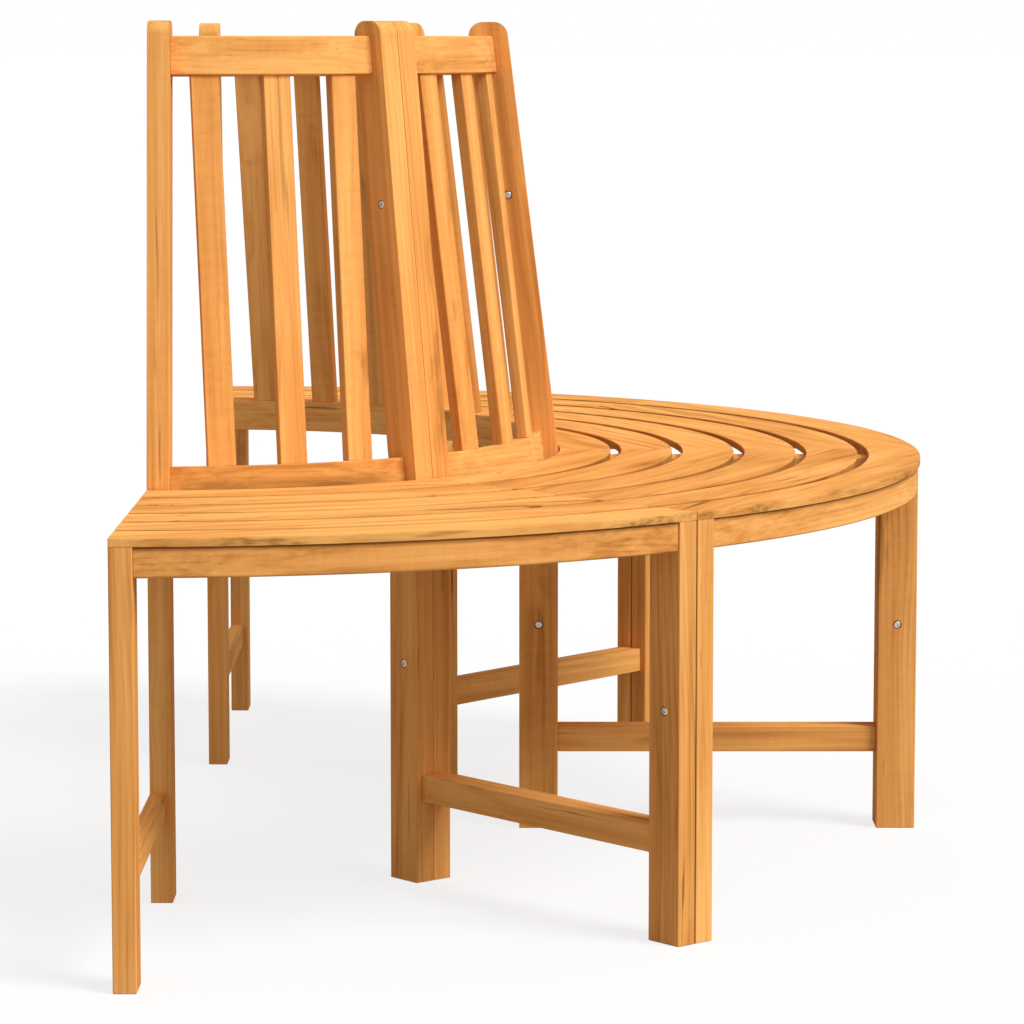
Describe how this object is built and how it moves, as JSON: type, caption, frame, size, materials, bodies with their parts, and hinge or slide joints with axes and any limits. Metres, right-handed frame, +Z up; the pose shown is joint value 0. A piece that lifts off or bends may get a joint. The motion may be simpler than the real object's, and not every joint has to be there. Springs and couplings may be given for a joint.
{
  "type": "tree bench",
  "caption": "Half-round slatted wooden bench with a leaning, curved slatted back, made to stand around one side of a tree trunk.",
  "frame": {"origin": "centre of the tree opening, at the ground", "axes": "+Z up; -Y the way a sitter at the middle of the seat faces; X along the straight side of the half ring"},
  "size_m": [1.6, 0.7997, 0.8745],
  "materials": {
    "frame_wood": "oiled hardwood, satin",
    "slat_wood": "oiled hardwood, satin, fine grain along each slat",
    "fastener_steel": "zinc-plated steel"
  },
  "bodies": {
    "root": {"left_end_front_leg_outer": "frame_wood", "left_end_back_post_outer": "frame_wood", "left_end_stretcher_outer": "frame_wood", "left_end_side_rail_outer": "frame_wood", "left_end_front_leg_inner": "frame_wood", "left_end_back_post_inner": "frame_wood", "left_end_stretcher_inner": "frame_wood", "left_end_side_rail_inner": "frame_wood", "left_end_front_apron": "frame_wood", "left_end_bottom_rail": "frame_wood", "left_end_top_rail": "frame_wood", "left_end_back_slats": "slat_wood", "left_end_seat_slats": "slat_wood", "left_end_seat_batten": "frame_wood", "left_middle_front_leg_outer": "frame_wood", "left_middle_back_post_outer": "frame_wood", "left_middle_stretcher_outer": "frame_wood", "left_middle_side_rail_outer": "frame_wood", "left_middle_front_leg_inner": "frame_wood", "left_middle_back_post_inner": "frame_wood", "left_middle_stretcher_inner": "frame_wood", "left_middle_side_rail_inner": "frame_wood", "left_middle_front_apron": "frame_wood", "left_middle_bottom_rail": "frame_wood", "left_middle_top_rail": "frame_wood", "left_middle_back_slats": "slat_wood", "left_middle_seat_slats": "slat_wood", "left_middle_seat_batten": "frame_wood", "right_end_front_leg_outer": "frame_wood", "right_end_back_post_outer": "frame_wood", "right_end_stretcher_outer": "frame_wood", "right_end_side_rail_outer": "frame_wood", "right_end_front_leg_inner": "frame_wood", "right_end_back_post_inner": "frame_wood", "right_end_stretcher_inner": "frame_wood", "right_end_side_rail_inner": "frame_wood", "right_end_front_apron": "frame_wood", "right_end_bottom_rail": "frame_wood", "right_end_top_rail": "frame_wood", "right_end_back_slats": "slat_wood", "right_end_seat_slats": "slat_wood", "right_end_seat_batten": "frame_wood", "right_middle_front_leg_outer": "frame_wood", "right_middle_back_post_outer": "frame_wood", "right_middle_stretcher_outer": "frame_wood", "right_middle_side_rail_outer": "frame_wood", "right_middle_front_leg_inner": "frame_wood", "right_middle_back_post_inner": "frame_wood", "right_middle_stretcher_inner": "frame_wood", "right_middle_side_rail_inner": "frame_wood", "right_middle_front_apron": "frame_wood", "right_middle_bottom_rail": "frame_wood", "right_middle_top_rail": "frame_wood", "right_middle_back_slats": "slat_wood", "right_middle_seat_slats": "slat_wood", "right_middle_seat_batten": "frame_wood", "connector_bolts": "fastener_steel", "sleeve_nuts": "fastener_steel"}
  },
  "joints": []
}
